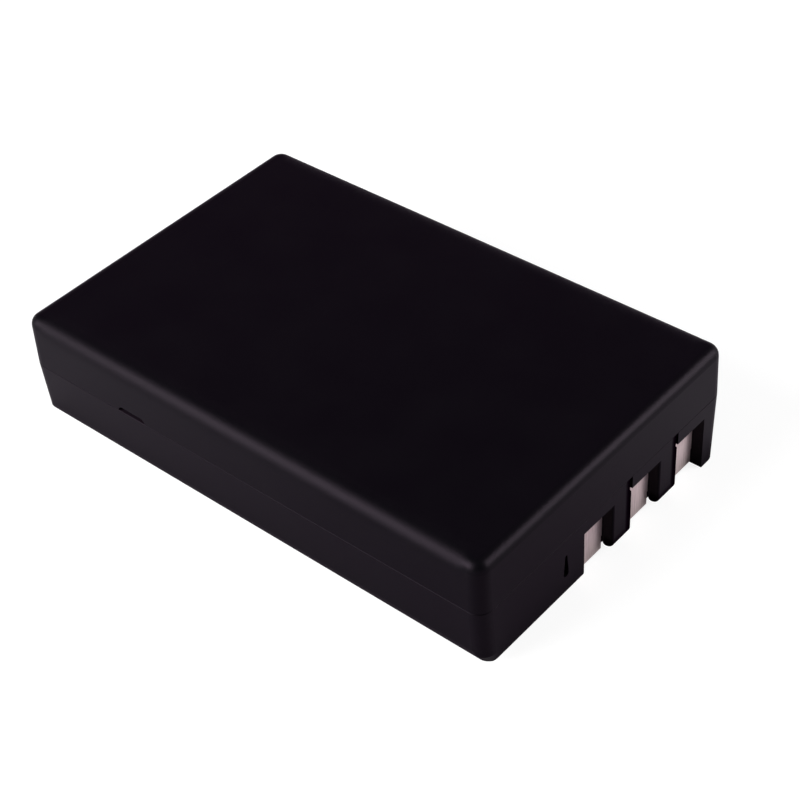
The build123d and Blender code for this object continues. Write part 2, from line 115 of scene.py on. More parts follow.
def run_colour(tree, factor, first, second):
    """Mixes from a first colour to a second one. A colour is three numbers or a socket."""
    colours = [c if isinstance(c, bpy.types.NodeSocket) else (*c, 1.0) for c in (first, second)]
    inputs = {MIX_FACTOR: factor, MIX_FIRST: colours[0], MIX_SECOND: colours[1]}
    return put(tree, "Mix", inputs, data_type="RGBA").outputs[MIX_COLOUR]


print("node helpers ready")

# %% [markdown]
# Several finishes share an effect. Plastic, chips and ceramic all have a fine grain, and plates, strips and cans all
# carry the lines that rolling or drawing leaves in metal. Such an effect is built once as a node group with named
# sockets, and each material places it with its own values. Image textures could do the same, but they would need a
# picture and a map of the surface, while these patterns are worked out from the place in space.

# %% Helper that starts a node group


def new_group(name, inputs, outputs):
    """Starts a node group. Inputs give each socket's kind and first value, and all outputs are values."""
    tree = bpy.data.node_groups.new(name, "ShaderNodeTree")
    for label, (kind, value) in inputs.items():
        socket = tree.interface.new_socket(label, in_out="INPUT", socket_type="NodeSocket" + kind)
        if value is not None:
            socket.default_value = value
    for label in outputs:
        tree.interface.new_socket(label, in_out="OUTPUT", socket_type="NodeSocketFloat")
    return tree, tree.nodes.new("NodeGroupInput").outputs, tree.nodes.new("NodeGroupOutput").inputs


def give(tree, results, **values):
    """Links the group's results to its outputs."""
    for label, socket in values.items():
        tree.links.new(socket, results[label])
    print("group", tree.name, "gives", ", ".join(values))


# %% [markdown]
# Grain is what a spark-eroded mould leaves on plastic: a fine, even roughness with slow patches where the mould or
# handling has polished it a little. Two noise patterns of different size give both. The fine one becomes height and
# the broad one a mottle that colour and roughness can follow.

# %% Group: grain
BROAD_SHARE = 0.02
BROAD_RANGE = (0.35, 0.65)
grain_inputs = {"Place": ("Vector", None), "Size": ("Float", 0.1)}
grain, given, results = new_group("grain", grain_inputs, ["Height", "Mottle"])
fine_scale = math_of(grain, "DIVIDE", 1.0, given["Size"])
broad_scale = math_of(grain, "MULTIPLY", fine_scale, BROAD_SHARE)
fine = put(grain, "TexNoise", {"Vector": given["Place"], "Scale": fine_scale, "Detail": 2.0})
broad = put(grain, "TexNoise", {"Vector": given["Place"], "Scale": broad_scale, "Detail": 3.0})
give(grain, results, Height=fine.outputs[0], Mottle=share_of(grain, broad.outputs[0], *BROAD_RANGE))

# %% [markdown]
# Rolled and drawn metal shows fine parallel lines. Noise that is squeezed across the lines and stretched along them
# looks like that. The group draws the lines along its own X, and a Mapping node in each material turns them to the
# direction that the metal was worked in.

# %% Group: metal lines
LINE_STRETCH = (0.03, 1.0, 1.0)
LINE_RANGE = (0.3, 0.7)
metal_lines_inputs = {"Place": ("Vector", None), "Spacing": ("Float", 0.1)}
lines, given, results = new_group("metal_lines", metal_lines_inputs, ["Height", "Shade"])
stretched = put(lines, "VectorMath", {0: given["Place"], 1: LINE_STRETCH}, operation="MULTIPLY").outputs[0]
line_scale = math_of(lines, "DIVIDE", 1.0, given["Spacing"])
streaks = put(lines, "TexNoise", {"Vector": stretched, "Scale": line_scale, "Detail": 2.0}).outputs[0]
give(lines, results, Height=streaks, Shade=share_of(lines, streaks, *LINE_RANGE))

# %% [markdown]
# Many finishes change at a line: a tinned end stops where the ceramic begins, and a lead stops at the chip's body. A
# band is a mask that is one between two places and fades to nothing outside them. It needs only two smooth ramps that
# are multiplied.

# %% Group: band
band_inputs = {"Value": ("Float", 0.0), "Low": ("Float", 0.0), "High": ("Float", 1.0), "Soft": ("Float", 0.05)}
band, given, results = new_group("band", band_inputs, ["Mask"])
low_end = math_of(band, "SUBTRACT", given["Low"], given["Soft"])
high_end = math_of(band, "ADD", given["High"], given["Soft"])
rise = run_value(band, given["Value"], low_end, given["Low"], 0.0, 1.0, "SMOOTHSTEP")
fall = run_value(band, given["Value"], given["High"], high_end, 1.0, 0.0, "SMOOTHSTEP")
give(band, results, Mask=math_of(band, "MULTIPLY", rise, fall))

# %% [markdown]
# Paper, glass cloth in a circuit board and adhesive backing all show fibres that lie across each other. The group
# takes the pattern of metal lines twice, turned by a different angle about X, and keeps the stronger of the two, so
# that one fibre seems to pass over another. All the sheets here stand across X, so the fibres lie in their plane.

# %% Group: fibres
FIBRE_STRETCH = (1.0, 0.12, 1.0)
FIBRE_RANGE = (0.4, 0.75)
fibres, given, results = new_group(
    "fibres", {"Place": ("Vector", None), "Size": ("Float", 0.1), "Angle": ("Float", 0.6)}, ["Height", "Shade"]
)
fibre_scale = math_of(fibres, "DIVIDE", 1.0, given["Size"])
opposite = math_of(fibres, "MULTIPLY", given["Angle"], -1.0)
crossed = []
for angle in (given["Angle"], opposite):
    turn_inputs = {"Vector": given["Place"], "Angle": angle}
    turned = put(fibres, "VectorRotate", turn_inputs, rotation_type="X_AXIS").outputs[0]
    drawn = put(fibres, "VectorMath", {0: turned, 1: FIBRE_STRETCH}, operation="MULTIPLY").outputs[0]
    crossed.append(put(fibres, "TexNoise", {"Vector": drawn, "Scale": fibre_scale, "Detail": 1.0}).outputs[0])
strongest = math_of(fibres, "MAXIMUM", *crossed)
give(fibres, results, Height=strongest, Shade=share_of(fibres, strongest, *FIBRE_RANGE))

# %% [markdown]
# Foam and adhesive are full of small bubbles. A Voronoi pattern divides space into cells, and the distance from a
# cell's middle gives each bubble its hollow.

# %% Group: bubbles
HOLLOW_RANGE = (0.1, 0.7)
bubbles_inputs = {"Place": ("Vector", None), "Size": ("Float", 0.2)}
bubbles, given, results = new_group("bubbles", bubbles_inputs, ["Height", "Shade"])
bubble_scale = math_of(bubbles, "DIVIDE", 1.0, given["Size"])
hollow = put(bubbles, "TexVoronoi", {"Vector": given["Place"], "Scale": bubble_scale}).outputs[0]
give(bubbles, results, Height=hollow, Shade=share_of(bubbles, hollow, *HOLLOW_RANGE))

# %% [markdown]
# A spot welder leaves rows of small round dents. The group repeats a square, measures the distance from its middle,
# and gives one inside the dent's radius. The pattern lies in the plane across X, as the strips and the board do.

# %% Group: dots
ACROSS_X = (0.0, 1.0, 1.0)
TILE_MIDDLE = (0.0, 0.5, 0.5)
FLAT_SHARE = 0.6
dot_inputs = {"Place": ("Vector", None), "Pitch": ("Float", 1.0), "Radius": ("Float", 0.3)}
dots, given, results = new_group("dots", dot_inputs, ["Mask"])
flat = put(dots, "VectorMath", {0: given["Place"], 1: ACROSS_X}, operation="MULTIPLY").outputs[0]
per_pitch = math_of(dots, "DIVIDE", 1.0, given["Pitch"])
tiles = put(dots, "VectorMath", {0: flat, "Scale": per_pitch}, operation="SCALE").outputs[0]
inside = put(dots, "VectorMath", {0: tiles}, operation="FRACTION").outputs[0]
centred = put(dots, "VectorMath", {0: inside, 1: TILE_MIDDLE}, operation="SUBTRACT").outputs[0]
distance = put(dots, "VectorMath", {0: centred}, operation="LENGTH").outputs["Value"]
in_mm = math_of(dots, "MULTIPLY", distance, given["Pitch"])
edge = math_of(dots, "MULTIPLY", given["Radius"], FLAT_SHARE)
give(dots, results, Mask=run_value(dots, in_mm, edge, given["Radius"], 1.0, 0.0, "SMOOTHSTEP"))

# %% [markdown]
# Every finish starts the same way: a new material with its Principled shader, and the place on the object in
# millimetres. The Mapping node in its Texture mode moves the pattern's middle to the piece, turns it, and divides by
# a millimetre. Numbers that are the same all over, such as how metallic a surface is, are written on the shader's own
# sockets.

# %% Start of a finish


def new_finish(name, **constants):
    """New material: gives it, its node tree and its shader. Constants are the shader's sockets, with _ for spaces."""
    material = bpy.data.materials.new(name)
    material.use_nodes = True
    tree = material.node_tree
    shader = tree.nodes["Principled BSDF"]
    for label, value in constants.items():
        shader.inputs[label.replace("_", " ")].default_value = value
    return material, tree, shader


def place_mm(tree, centre=(0.0, 0.0, 0.0), turn=(0.0, 0.0, 0.0)):
    """Place on the object in millimetres, measured from a centre and turned by three angles."""
    inputs = {
        "Vector": put(tree, "TexCoord").outputs["Object"],
        "Location": [v * MM for v in centre],
        "Rotation": turn,
        "Scale": (MM, MM, MM),
    }
    return put(tree, "Mapping", inputs, vector_type="TEXTURE").outputs[0]


def use(tree, group, **inputs):
    """Places a node group in a material and gives its outputs."""
    return put(tree, "Group", inputs, node_tree=group).outputs


def box_mask(tree, parts, low, high, soft=0.05):
    """Mask that is one inside a box, from the parts of a place. None leaves an axis open."""
    mask = 1.0
    for part, start, end in zip(parts, low, high):
        if start is not None:
            side = use(tree, band, Value=part, Low=start, High=end, Soft=soft)["Mask"]
            mask = math_of(tree, "MULTIPLY", side, mask)
    return mask


def surface(tree, shader, colour, roughness, height, depth, **start):
    """Links a finish to its shader. The bump's depth is in millimetres, and it may start from a Normal."""
    bump = put(tree, "Bump", {"Height": height, "Distance": depth * MM, **start})
    tree.links.new(colour, shader.inputs["Base Color"])
    tree.links.new(roughness, shader.inputs["Roughness"])
    tree.links.new(bump.outputs[0], shader.inputs["Normal"])


def dress(material, *names):
    """Gives a finish to solids."""
    for name in names:
        nodes[name].data.materials.clear()
        nodes[name].data.materials.append(material)
    print("finish", material.name, "on", ", ".join(names))


along_y = (0.0, 0.0, math.pi / 2)
along_z = (0.0, -math.pi / 2, 0.0)

# %% [markdown]
# The case is moulded from black plastic with a faint violet cast and a satin grain. Black plastic is never quite
# black: most of what shows on it is the reflection of the room. So its base colour is very low, its specular level is
# turned down until the sides look as dark as they do in the photograph, and a trace of violet sheen tints the faces
# that are seen at a slant. The grain gives height, and its mottle shifts colour and roughness a little.

# %% Case plastic: shader and grain
CASE_GRAIN = 0.14
CASE_TINT = (1.0, 0.76, 1.0, 1.0)
SHEEN_TINT = (1.0, 0.15, 1.0, 1.0)
# Dark coat tint that paints shade on the post rims and the seam, reflection included.
SHADE_COAT_TINT = (0.06, 0.04, 0.06, 1.0)
case, tree, shader = new_finish(
    "case_plastic", Specular_IOR_Level=0.08, Specular_Tint=CASE_TINT,
    Sheen_Weight=0.012, Sheen_Roughness=0.5, Sheen_Tint=SHEEN_TINT,
    Coat_Roughness=1.0, Coat_IOR=1.0, Coat_Tint=SHADE_COAT_TINT,
)
place = place_mm(tree)
across = put(tree, "SeparateXYZ", {0: place}).outputs
texture = use(tree, grain, Place=place, Size=CASE_GRAIN)
print("case grain", CASE_GRAIN, "mm")

# %% [markdown]
# Three small places get painted shade or painted light through masks. The two inner posts between the notches get
# painted shade along their far and lower rims, where the edges turn away from the light. The seam between the shells
# is welded and hardly shows, so painted shade dims the highlight of its tiny bevel. The short notch in the cover's rim
# gets a painted lighter colour against its shade, which keeps it from looking like a black hole.
#
# The painted shade uses the coat as a film of shade: with an index of 1 it reflects nothing, and its tint takes light
# from all that lies below it, the reflection included. A darker base colour alone could not do that.

# %% Case plastic: masks of the painted shade and painted light
BEYOND = 1.0
CONTACT_LAP = 0.35
RIM_DEPTH = 0.9
FAR_RIM, FAR_RIM_FADE = 0.5, 0.6
LOW_RIM, LOW_RIM_FADE = 0.85, 1.3
SEAM_LINE, SEAM_FADE, SEAM_SHADE_STRENGTH = 0.07, 0.02, 0.22
# Box of the rim notch, where a lighter colour is painted against its shade.
NOTCH_LIGHT_LOW, NOTCH_LIGHT_HIGH, NOTCH_LIGHT_FADE = (-15.5, -17.72, 7.4), (-11.9, -17.1, 8.1), 0.02
end_face = reach("lower_case", X)[1]
low_rim = use(tree, band, Value=across[Z], Low=-BEYOND, High=LOW_RIM, Soft=LOW_RIM_FADE)["Mask"]
# Painted shade along the far and lower rims of the two inner posts.
rim_shade = 0.0
for before, after in (("negative_contact", "sensor_contact"), ("sensor_contact", "positive_contact")):
    near_edge, far_edge = reach(before, Y)[1] - CONTACT_LAP, reach(after, Y)[0] + CONTACT_LAP
    post_low = (end_face - RIM_DEPTH, near_edge, -BEYOND)
    post_high = (end_face + BEYOND, far_edge, seam_height - SEAM_LINE)
    post = box_mask(tree, across, post_low, post_high)
    far_rim = use(tree, band, Value=across[Y], Low=far_edge - FAR_RIM, High=far_edge, Soft=FAR_RIM_FADE)["Mask"]
    rim = math_of(tree, "MULTIPLY", math_of(tree, "MAXIMUM", far_rim, low_rim), post)
    rim_shade = math_of(tree, "MAXIMUM", rim, rim_shade)
    print("post from", round(near_edge, 2), "to", round(far_edge, 2), "mm")
seam_low, seam_high = seam_height - SEAM_LINE, seam_height + SEAM_LINE
seam_line = use(tree, band, Value=across[Z], Low=seam_low, High=seam_high, Soft=SEAM_FADE)["Mask"]
# All the painted shade: the post rims in full, and the seam line at part strength to dim its bevel's highlight.
painted_shade = math_of(tree, "MAXIMUM", rim_shade, math_of(tree, "MULTIPLY", seam_line, SEAM_SHADE_STRENGTH))
notch_light = box_mask(tree, across, NOTCH_LIGHT_LOW, NOTCH_LIGHT_HIGH, NOTCH_LIGHT_FADE)

# %% [markdown]
# The highlight along the long top edges is wider and softer in the photograph than along the short ones. The Bevel
# node gives the normal that a softer edge would have: it averages the surface's normals within a radius. A mask that
# is measured from the middle of the case keeps it to the two long edges.

# %% Case plastic: softer long edges
SOFT_RADIUS = 2.1
SOFT_SAMPLES = 8
EDGE_ZONE, EDGE_FADE = 2.6, 1.2
end_reach, side_reach, top_reach = (reach("upper_case", axis)[1] for axis in (X, Y, Z))
from_middle = put(tree, "VectorMath", {0: place}, operation="ABSOLUTE").outputs[0]
offsets = put(tree, "SeparateXYZ", {0: from_middle}).outputs
zone_low = (-BEYOND, side_reach - EDGE_ZONE, top_reach - EDGE_ZONE)
zone_high = (end_reach - EDGE_ZONE, side_reach, top_reach)
long_edges = box_mask(tree, offsets, zone_low, zone_high, soft=EDGE_FADE)
averaged = put(tree, "Bevel", {"Radius": SOFT_RADIUS * MM}, samples=SOFT_SAMPLES).outputs[0]
own_normal = put(tree, "NewGeometry").outputs["Normal"]
softened = run_colour(tree, long_edges, own_normal, averaged)
print("long edges softened over", SOFT_RADIUS, "mm")

# %% Case plastic: colour, roughness and bump
CASE_DARK = (0.0011, 0.0014, 0.0018)
CASE_LIGHT = (0.0016, 0.0019, 0.0023)
# Colour of the painted shade on the post rims and the seam.
PAINTED_SHADE_COLOUR = (0.0012, 0.0010, 0.0012)
# Painted light: a lighter colour in the rim notch lifts its shade.
NOTCH_LIGHT_COLOUR = (0.011, 0.008, 0.011)
GRAIN_DEPTH = 0.004
SATIN = (0.425, 0.44)
PAINTED_SHADE_ROUGHNESS = 0.9
body_colour = run_colour(tree, texture["Mottle"], CASE_DARK, CASE_LIGHT)
# Painted light in the rim notch.
notch_lit_colour = run_colour(tree, notch_light, body_colour, NOTCH_LIGHT_COLOUR)
# Painted shade on the post rims and the seam bevel.
colour = run_colour(tree, painted_shade, notch_lit_colour, PAINTED_SHADE_COLOUR)
satin = between(tree, texture["Mottle"], *SATIN)
roughness = between(tree, painted_shade, satin, PAINTED_SHADE_ROUGHNESS)
surface(tree, shader, colour, roughness, texture["Height"], GRAIN_DEPTH, Normal=softened)
# The coat carries the painted shade into the reflection too.
tree.links.new(painted_shade, shader.inputs["Coat Weight"])
dress(case, "lower_case", "upper_case")

# %% [markdown]
# The contact plates are copper alloy with a bright plating that has a slight rose tint. They are cut from rolled
# strip, so fine lines run up them, and slow patches show where handling has dulled the plating. Metal takes its
# colour from what it reflects, so the plates are about as bright as the floor in front of them.

# %% Contact plates
PLATE_LINES, PLATE_DEPTH = 0.09, 0.004
PLATE_ROUGHNESS = (0.68, 0.55)
PLATE_DARK = (0.55, 0.45, 0.45)
PLATE_LIGHT = (0.95, 0.81, 0.81)
plating, tree, shader = new_finish("contact_plating", Metallic=1.0)
place = place_mm(tree, turn=along_z)
streaks = use(tree, lines, Place=place, Spacing=PLATE_LINES)
patches = use(tree, grain, Place=place, Size=PLATE_LINES)
shade = average(tree, streaks["Shade"], patches["Mottle"])
colour = run_colour(tree, shade, PLATE_DARK, PLATE_LIGHT)
roughness = between(tree, streaks["Shade"], *PLATE_ROUGHNESS)
surface(tree, shader, colour, roughness, streaks["Height"], PLATE_DEPTH)
dress(plating, "negative_contact", "sensor_contact", "positive_contact")

# %% [markdown]
# Bare nickel strip joins the cells to the board. It is rolled along its length, slightly yellow, and carries the dents
# of the spot welds where it lies on a terminal. The welds are masked to a window round each terminal, so the bends
# stay smooth. Each strip has its own window, so one function makes the finish from the place of the weld.

# %% Nickel strips
NICKEL_LINES, NICKEL_HEIGHT = 0.08, 0.08
NICKEL_ROUGHNESS = (0.38, 0.28)
WELD_ROUGHNESS, WELD_DEPTH = 0.6, 0.05
WELD_PITCH = 1.1
WELD_RADIUS = 0.34
WELD_WINDOW = (1.6, 1.1)
NICKEL_DARK = (0.50, 0.47, 0.42)
NICKEL_LIGHT = (0.70, 0.67, 0.61)
WELD_COLOUR = (0.36, 0.33, 0.30)


def nickel_finish(name, weld_places):
    """Rolled nickel with weld dents in a window round each of some places across X."""
    material, tree, shader = new_finish(name, Metallic=1.0)
    streaks = use(tree, lines, Place=place_mm(tree, turn=along_y), Spacing=NICKEL_LINES)
    welds = 0.0
    for spot in weld_places:
        near = place_mm(tree, centre=spot)
        parts = put(tree, "SeparateXYZ", {0: near}).outputs
        inside = box_mask(tree, parts, (None, *(-half for half in WELD_WINDOW)), (None, *WELD_WINDOW))
        dents = use(tree, dots, Place=near, Pitch=WELD_PITCH, Radius=WELD_RADIUS)["Mask"]
        welds = math_of(tree, "MAXIMUM", math_of(tree, "MULTIPLY", dents, inside), welds)
    rolled = run_colour(tree, streaks["Shade"], NICKEL_DARK, NICKEL_LIGHT)
    colour = run_colour(tree, welds, rolled, WELD_COLOUR)
    polish = between(tree, streaks["Shade"], *NICKEL_ROUGHNESS)
    roughness = between(tree, welds, polish, WELD_ROUGHNESS)
    height = math_of(tree, "SUBTRACT", math_of(tree, "MULTIPLY", streaks["Height"], NICKEL_HEIGHT), welds)
    surface(tree, shader, colour, roughness, height, WELD_DEPTH)
    return material


lower_weld, upper_weld = (middle(cell) for cell in ("lower_cell", "upper_cell"))
cutoff_weld = middle("thermal_cutoff")
dress(nickel_finish("nickel_series", [lower_weld, upper_weld]), "series_strip")
dress(nickel_finish("nickel_positive", [upper_weld]), "positive_strip")
dress(nickel_finish("nickel_negative", [lower_weld, cutoff_weld]), "negative_strip")
dress(nickel_finish("nickel_cutoff", [cutoff_weld]), "cutoff_lead")

# %% [markdown]
# Each cell is a flat can drawn from aluminium sheet. Drawing leaves lines along the can, and the sheet has slow clouds
# of brightness. The two cells are alike, and because the pattern is fixed in space, each shows its own part of it.

# %% Cell cans
CAN_LINES, CAN_CLOUDS, CAN_DEPTH = 0.12, 0.1, 0.006
CAN_ROUGHNESS = (0.3, 0.44)
CAN_DARK = (0.56, 0.57, 0.59)
CAN_LIGHT = (0.76, 0.77, 0.79)
can, tree, shader = new_finish("drawn_aluminium", Metallic=1.0)
place = place_mm(tree)
streaks = use(tree, lines, Place=place, Spacing=CAN_LINES)
clouds = use(tree, grain, Place=place, Size=CAN_CLOUDS)
shade = average(tree, streaks["Shade"], clouds["Mottle"])
colour = run_colour(tree, shade, CAN_DARK, CAN_LIGHT)
roughness = between(tree, clouds["Mottle"], *CAN_ROUGHNESS)
surface(tree, shader, colour, roughness, streaks["Height"], CAN_DEPTH)
dress(can, "lower_cell", "upper_cell")

# %% [markdown]
# Between the cells lies a pale adhesive pad, and strips of dark foam press the stack against the cover and the back
# wall. Both are full of bubbles: small shallow ones with milky patches in the adhesive, and deep open ones in the
# foam. They share the group of bubbles, and only the sizes and colours differ.

# %% Adhesive pad and foam
OPEN_ROUGHNESS = 0.95


def bubbly_finish(name, dark, light, size, depth, rough):
    """Soft sheet with bubbles of a size and depth in millimetres."""
    material, tree, shader = new_finish(name, Specular_IOR_Level=0.3)
    place = place_mm(tree)
    cells = use(tree, bubbles, Place=place, Size=size)
    patches = use(tree, grain, Place=place, Size=size)
    shade = average(tree, cells["Shade"], patches["Mottle"])
    roughness = between(tree, cells["Shade"], rough, OPEN_ROUGHNESS)
    surface(tree, shader, run_colour(tree, shade, dark, light), roughness, cells["Height"], depth)
    return material


adhesive = bubbly_finish(
    "pale_adhesive", dark=(0.60, 0.57, 0.49), light=(0.74, 0.72, 0.67), size=0.5, depth=0.02, rough=0.35
)
foam = bubbly_finish(
    "dark_foam", dark=(0.025, 0.025, 0.028), light=(0.085, 0.085, 0.09), size=0.22, depth=0.08, rough=0.8
)
dress(adhesive, "cell_pad")
dress(foam, "top_foam", "back_foam")

# %% [markdown]
# Green insulating paper covers the ends of the cells. It is pressed from long fibres, so it has a soft cross-hatched
# tooth and is a little darker between the fibres. The circuit board shows the same crossing pattern from the glass
# cloth inside it, seen through green resist, with copper tracks as slightly paler lines and a grid of plated holes.

# %% Insulating paper
PAPER_FIBRE, PAPER_ANGLE, PAPER_PATCH, PAPER_DEPTH = 0.16, 0.7, 0.12, 0.03
PAPER_DARK = (0.11, 0.22, 0.145)
PAPER_LIGHT = (0.20, 0.36, 0.25)
PAPER_ROUGHNESS = (0.9, 0.75)
paper, tree, shader = new_finish("green_paper", Specular_IOR_Level=0.2)
place = place_mm(tree)
felt = use(tree, fibres, Place=place, Size=PAPER_FIBRE, Angle=PAPER_ANGLE)
patches = use(tree, grain, Place=place, Size=PAPER_PATCH)
shade = average(tree, felt["Shade"], patches["Mottle"])
colour = run_colour(tree, shade, PAPER_DARK, PAPER_LIGHT)
roughness = between(tree, felt["Shade"], *PAPER_ROUGHNESS)
surface(tree, shader, colour, roughness, felt["Height"], PAPER_DEPTH)
dress(paper, "front_insulator", "back_insulator")

# %% Circuit board
CLOTH_FIBRE, CLOTH_ANGLE, CLOTH_HEIGHT = 0.2, math.pi / 4, 0.3
BOARD_ROUGHNESS, BOARD_DEPTH = (0.42, 0.3), 0.03
TRACK_PITCH = 1.7
TRACK_START, TRACK_END, TRACK_FADE = 0.3, 0.6, 0.04
HOLE_PITCH = 3.4
HOLE_RADIUS = 0.28
RESIST_DARK = (0.018, 0.11, 0.052)
RESIST_LIGHT = (0.032, 0.16, 0.08)
TRACK_COLOUR = (0.06, 0.24, 0.12)
HOLE_COLOUR = (0.62, 0.56, 0.42)
board, tree, shader = new_finish("board_laminate", Specular_IOR_Level=0.5)
place = place_mm(tree, centre=middle("circuit_board"))
cloth = use(tree, fibres, Place=place, Size=CLOTH_FIBRE, Angle=CLOTH_ANGLE)
across = put(tree, "SeparateXYZ", {0: place}).outputs
track_place = math_of(tree, "FRACT", math_of(tree, "DIVIDE", across[Z], TRACK_PITCH), 0.0)
tracks = use(tree, band, Value=track_place, Low=TRACK_START, High=TRACK_END, Soft=TRACK_FADE)["Mask"]
holes = use(tree, dots, Place=place, Pitch=HOLE_PITCH, Radius=HOLE_RADIUS)["Mask"]
resist = run_colour(tree, cloth["Shade"], RESIST_DARK, RESIST_LIGHT)
tracked = run_colour(tree, tracks, resist, TRACK_COLOUR)
colour = run_colour(tree, holes, tracked, HOLE_COLOUR)
roughness = between(tree, cloth["Shade"], *BOARD_ROUGHNESS)
height = math_of(tree, "ADD", math_of(tree, "MULTIPLY", cloth["Height"], CLOTH_HEIGHT), tracks)
surface(tree, shader, colour, roughness, height, BOARD_DEPTH)
tree.links.new(holes, shader.inputs["Metallic"])
dress(board, "circuit_board")

# %% [markdown]
# The tape under the strip's tail is an amber film. Film is smooth and glossy, and it gives itself away by slow ripples
# where it was rolled on and by slightly darker streaks of glue behind it. A clear coat adds the gloss, and the ripples
# come from the same metal lines at a much wider spacing.

# %% Insulating tape
RIPPLE_SPACING, RIPPLE_DEPTH, GLUE_GRAIN = 0.9, 0.03, 0.06
FILM_DARK = (0.50, 0.24, 0.035)
FILM_LIGHT = (0.66, 0.36, 0.07)
FILM_ROUGHNESS = (0.22, 0.36)
tape, tree, shader = new_finish("amber_film", Coat_Weight=0.6, Coat_Roughness=0.12)
place = place_mm(tree)
ripples = use(tree, lines, Place=place, Spacing=RIPPLE_SPACING)
glue = use(tree, grain, Place=place, Size=GLUE_GRAIN)
colour = run_colour(tree, glue["Mottle"], FILM_DARK, FILM_LIGHT)
roughness = between(tree, glue["Mottle"], *FILM_ROUGHNESS)
surface(tree, shader, colour, roughness, ripples["Height"], RIPPLE_DEPTH)
dress(tape, "side_tape")

# %% [markdown]
# Parts on the board have a body and metal ends. A chip has tinned leads above and below its moulded body, and a
# resistor or capacitor has a tinned cap on each end of a ceramic block. Both are one pattern: a band along the part's
# long axis is body, and what lies outside it is metal. One function makes them all from the part's middle, its axis
# and the length of its body.

# %% Parts on the board
TIN_DARK = (0.52, 0.52, 0.51)
TIN_LIGHT = (0.72, 0.72, 0.70)
TIN_ROUGHNESS = (0.25, 0.4)
TIN_FADE, PART_GRAIN, PART_DEPTH = 0.03, 0.08, 0.006


def tinned_part(node, axis, body_length, dark, light, rough):
    """Finish of a part whose body is a band along an axis, with tinned metal outside the band."""
    material, tree, shader = new_finish(node + "_finish", Specular_IOR_Level=0.4)
    place = place_mm(tree, centre=middle(node))
    along = put(tree, "SeparateXYZ", {0: place}).outputs[axis]
    half = body_length / 2
    body = use(tree, band, Value=along, Low=-half, High=half, Soft=TIN_FADE)["Mask"]
    texture = use(tree, grain, Place=place, Size=PART_GRAIN)
    tin = run_colour(tree, texture["Mottle"], TIN_DARK, TIN_LIGHT)
    moulded = run_colour(tree, texture["Height"], dark, light)
    colour = run_colour(tree, body, tin, moulded)
    tin_roughness = between(tree, texture["Mottle"], *TIN_ROUGHNESS)
    roughness = between(tree, body, tin_roughness, rough)
    surface(tree, shader, colour, roughness, texture["Height"], PART_DEPTH)
    tree.links.new(math_of(tree, "SUBTRACT", 1.0, body), shader.inputs["Metallic"])
    dress(material, node)


LEAD_LENGTH = 0.6
CAP_LENGTH = 0.3
CHIP_ROUGH, CUTOFF_ROUGH, CERAMIC_ROUGH = 0.55, 0.5, 0.45
CHIP_BLACK = ((0.018, 0.018, 0.02), (0.045, 0.045, 0.047))
for node in ("protection_chip", "switch_transistors"):
    tinned_part(node, Z, length_of(node, Z) - 2 * LEAD_LENGTH, *CHIP_BLACK, CHIP_ROUGH)
tinned_part("thermal_cutoff", Y, length_of("thermal_cutoff", Y) - 2 * CAP_LENGTH, *CHIP_BLACK, CUTOFF_ROUGH)
ceramics = {
    "thermistor": (Y, (0.03, 0.05, 0.035), (0.07, 0.10, 0.075)),
    "surface_fuse": (Y, (0.52, 0.51, 0.46), (0.70, 0.69, 0.64)),
    "chip_resistors": (Z, (0.02, 0.02, 0.024), (0.06, 0.06, 0.066)),
    "chip_capacitors": (Z, (0.26, 0.17, 0.09), (0.40, 0.28, 0.17)),
}
for node, (axis, dark, light) in ceramics.items():
    tinned_part(node, axis, length_of(node, axis) - 2 * CAP_LENGTH, dark, light, CERAMIC_ROUGH)

# %% [markdown]
# The battery lies on a white sheet. A floor that only reflects lamps would need so much light to turn white that the
# case would be washed out. Instead the floor has a moderate colour for the light that it passes on, and it glows for
# rays that come straight from the camera. The shape is a plain grid, worked out as whole arrays. It lies a hair below
# the case, so that the two don't share a face.

# %% Floor: shape
FLOOR_SIDE = 6.0
FLOOR_STEPS = 13
FLOOR_GAP = 0.02


def grid_sheet(name, side, steps):
    """Flat square sheet: the point at shares u and v of the sides is ((u - 1/2) side, (v - 1/2) side, 0)."""
    share = np.linspace(-0.5, 0.5, steps)
    u, v = np.meshgrid(share, share, indexing="ij")
    points = np.stack([u * side, v * side, np.zeros_like(u)], axis=-1).reshape(-1, 3)
    index = np.arange(steps * steps).reshape(steps, steps)
    quads = np.stack([index[:-1, :-1], index[1:, :-1], index[1:, 1:], index[:-1, 1:]], axis=-1).reshape(-1, 4)
    mesh = bpy.data.meshes.new(name)
    mesh.from_pydata(points.tolist(), [], quads.tolist())
    sheet = bpy.data.objects.new(name, mesh)
    bpy.context.scene.collection.objects.link(sheet)
    print(name, "has", len(quads), "faces")
    return sheet


floor = grid_sheet("floor", FLOOR_SIDE, FLOOR_STEPS)
floor.location.z = -FLOOR_GAP * MM

# %% [markdown]
# The Light Path node tells rays from the camera and rays in reflections apart. For the camera the glow grows to full
# white further off, where the lamps don't reach, and the lit share is kept, so the battery has a faint soft shadow.
# Reflections see a dimmer floor, whose glow is painted with light and shade. The real sides are darkest at the near
# corner and brighten away from it, so this painted glow starts as a violet grey at that corner and grows with the
# square of the distance, measured in lengths and widths of the case. Close to the case it fades out into a painted
# contact shadow.

# %% Floor: colour and glow
FLOOR_COLOUR = (0.24, 0.24, 0.24, 1.0)
GLOW_NEAR, GLOW_FAR = 0.84, 1.0
GLOW_START, GLOW_END = 60.0, 400.0
BLACK = (0.0, 0.0, 0.0)
# Colours of the painted glow that reflections see, near the case's near corner and far from it.
GLOSS_NEAR, GLOSS_FAR = (0.105, 0.055, 0.105), (0.49, 0.45, 0.50)
GLOSS_REACH = 1.25
PAINTED_SHADOW_REACH = 2.5


